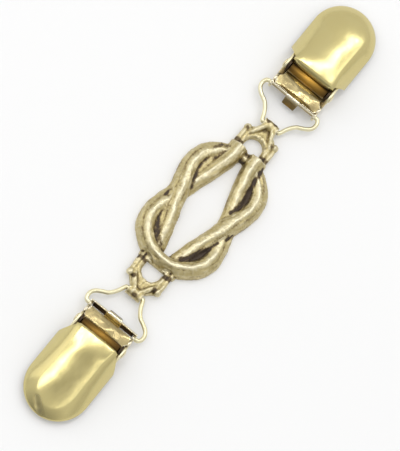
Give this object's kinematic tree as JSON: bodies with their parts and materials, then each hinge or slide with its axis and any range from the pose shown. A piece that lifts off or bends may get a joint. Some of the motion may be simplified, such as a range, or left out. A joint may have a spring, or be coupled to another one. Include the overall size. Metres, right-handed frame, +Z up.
{
  "type": "sweater clip",
  "caption": "Garment clip: an openwork knot-shaped link with a wire bail and a lever-locked toothed clip hinged at each end, to hold the edges of a cardigan together.",
  "frame": {"origin": "middle of the underside, on the table that the clip lies on", "axes": "+X along the clip from the left-hand clip to the right-hand one, +Z up out of the relief, +Y across"},
  "size_m": [0.1578, 0.0278, 0.0088],
  "materials": {
    "cast_brass": "antiqued casting, dark in its grooves",
    "pale_brass": "polished pale brass plate",
    "worn_brass": "polished, tarnished in the bends",
    "dark_brass": "dull and tarnished"
  },
  "bodies": {
    "knot": {"knot": "cast_brass"},
    "right_bail": {"right_bail": "pale_brass"},
    "right_lever": {"right_lever": "worn_brass"},
    "right_cover": {"right_cover": "pale_brass", "right_pin": "worn_brass"},
    "right_jaw": {"right_jaw": "dark_brass"},
    "left_bail": {"left_bail": "pale_brass"},
    "left_lever": {"left_lever": "worn_brass"},
    "left_cover": {"left_cover": "pale_brass", "left_pin": "worn_brass"},
    "left_jaw": {"left_jaw": "dark_brass"}
  },
  "joints": [
    {"name": "right_bail_swing", "type": "hinge", "parent": "knot", "child": "right_bail", "pos_m": [0.0327, 0, 0.002], "axis": [0, -1, 0], "range_deg": [-90, 90]},
    {"name": "right_lever_swing", "type": "hinge", "parent": "right_bail", "child": "right_lever", "pos_m": [0.0436, 0, 0.0025], "axis": [0, 1, 0], "range_deg": [-90, 90]},
    {"name": "right_clip_open", "type": "hinge", "parent": "right_lever", "child": "right_cover", "pos_m": [0.0502, 0, 0.0051], "axis": [0, -1, 0], "range_deg": [0, 90]},
    {"name": "right_jaw_open", "type": "hinge", "parent": "right_cover", "child": "right_jaw", "pos_m": [0.0502, 0, 0.0051], "axis": [0, 1, 0], "range_deg": [0, 18]},
    {"name": "left_bail_swing", "type": "hinge", "parent": "knot", "child": "left_bail", "pos_m": [-0.0327, 0, 0.002], "axis": [0, 1, 0], "range_deg": [-90, 90]},
    {"name": "left_lever_swing", "type": "hinge", "parent": "left_bail", "child": "left_lever", "pos_m": [-0.0436, 0, 0.0025], "axis": [0, -1, 0], "range_deg": [-90, 90]},
    {"name": "left_clip_open", "type": "hinge", "parent": "left_lever", "child": "left_cover", "pos_m": [-0.0502, 0, 0.0051], "axis": [0, 1, 0], "range_deg": [0, 90]},
    {"name": "left_jaw_open", "type": "hinge", "parent": "left_cover", "child": "left_jaw", "pos_m": [-0.0502, 0, 0.0051], "axis": [0, -1, 0], "range_deg": [0, 18]}
  ],
  "couplings": [
    {"joint": "right_jaw_open", "follows": "right_clip_open", "ratio": 0.2},
    {"joint": "left_jaw_open", "follows": "left_clip_open", "ratio": 0.2}
  ]
}
